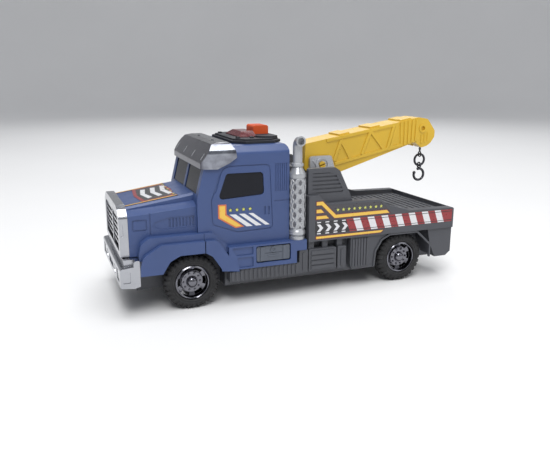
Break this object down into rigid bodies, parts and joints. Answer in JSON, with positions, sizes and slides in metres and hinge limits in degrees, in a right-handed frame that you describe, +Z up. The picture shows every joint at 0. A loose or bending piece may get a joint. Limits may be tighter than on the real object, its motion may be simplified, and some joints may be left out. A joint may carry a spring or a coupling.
{
  "type": "toy tow truck",
  "caption": "Toy tow truck with a long bonnet, chrome grille and stacks, rolling wheels, a roof push button and a lifting crane boom with a hanging hook.",
  "frame": {"origin": "on the ground, halfway between the axles, on the centre plane", "axes": "+X towards the bonnet, +Y towards the truck's left side, +Z up"},
  "size_m": [0.309, 0.1104, 0.1458],
  "materials": {
    "charcoal_plastic": "satin moulded charcoal",
    "blue_plastic": "semi-gloss moulded blue",
    "black_window": "gloss near-black",
    "chrome_plating": "vacuum plated plastic",
    "clear_lens": "clear moulded lens",
    "grey_plastic": "satin dark grey",
    "red_lens": "tinted lens",
    "orange_plastic": "gloss orange",
    "steel": "plain steel",
    "black_plastic": "black moulding",
    "board_green": "solder resist",
    "wire_cover": "soft insulation",
    "contact_brass": "plain",
    "silver_plastic": "silver metallic plastic",
    "light_grey_plastic": "satin grey",
    "yellow_plastic": "semi-gloss yellow",
    "black_cord": "twisted cord",
    "tyre_rubber": "matt black",
    "sticker_film": "printed film"
  },
  "bodies": {
    "truck": {"chassis": "charcoal_plastic", "cab_shell": "blue_plastic", "window_insert": "black_window", "grille": "chrome_plating", "front_bumper": "chrome_plating", "bumper_lamps": "clear_lens", "sun_visor": "chrome_plating", "roof_console": "grey_plastic", "beacon_lens": "red_lens", "button_spring": "steel", "tact_switch": "black_plastic", "circuit_board": "board_green", "beacon_led": "red_lens", "speaker": "black_plastic", "wiring": "wire_cover", "button_cells": "steel", "battery_contacts": "contact_brass", "battery_door": "charcoal_plastic", "door_screw": "steel", "chassis_screws": "steel", "exhaust_left": "silver_plastic", "exhaust_right": "silver_plastic", "toolbox_left": "light_grey_plastic", "toolbox_right": "light_grey_plastic", "bed_body": "charcoal_plastic", "tower": "charcoal_plastic", "boom_bracket": "silver_plastic", "bonnet_sticker": "sticker_film", "door_sticker_left": "sticker_film", "door_sticker_right": "sticker_film", "bed_sticker_left": "sticker_film", "bed_sticker_right": "sticker_film"},
    "button": {"push_button": "orange_plastic"},
    "crane_boom": {"boom": "yellow_plastic"},
    "hanging_cord": {"cord": "black_cord"},
    "ring": {"hook_ring": "chrome_plating"},
    "hook": {"tow_hook": "chrome_plating"},
    "front_wheels": {"front_axle": "steel", "front_left_rim": "chrome_plating", "front_right_rim": "chrome_plating", "front_left_tyre": "tyre_rubber", "front_right_tyre": "tyre_rubber"},
    "rear_wheels": {"rear_axle": "steel", "rear_left_rim": "chrome_plating", "rear_right_rim": "chrome_plating", "rear_left_tyre": "tyre_rubber", "rear_right_tyre": "tyre_rubber"}
  },
  "joints": [
    {"name": "front_axle_spin", "type": "hinge", "parent": "truck", "child": "front_wheels", "pos_m": [0.09725, 0, 0.0225], "axis": [0, 1, 0], "continuous": true},
    {"name": "rear_axle_spin", "type": "hinge", "parent": "truck", "child": "rear_wheels", "pos_m": [-0.09725, 0, 0.0225], "axis": [0, 1, 0], "continuous": true},
    {"name": "boom_lift", "type": "hinge", "parent": "truck", "child": "crane_boom", "pos_m": [-0.0326, 0, 0.1067], "axis": [0, 1, 0], "range_deg": [-6, 40]},
    {"name": "cord_swing", "type": "hinge", "parent": "crane_boom", "child": "hanging_cord", "pos_m": [-0.147, 0, 0.1225], "axis": [0, 1, 0], "range_deg": [-50, 50]},
    {"name": "ring_swing", "type": "hinge", "parent": "hanging_cord", "child": "ring", "pos_m": [-0.147, 0, 0.109], "axis": [1, 0, 0], "range_deg": [-60, 60]},
    {"name": "hook_swing", "type": "hinge", "parent": "ring", "child": "hook", "pos_m": [-0.147, 0, 0.098], "axis": [1, 0, 0], "range_deg": [-60, 60]},
    {"name": "button_press", "type": "slide", "parent": "truck", "child": "button", "axis": [0, 0, -1], "range_m": [0, 0.002], "stiffness_N_per_m": 400, "springref_m": -0.001, "deforming": ["button_spring"]}
  ]
}
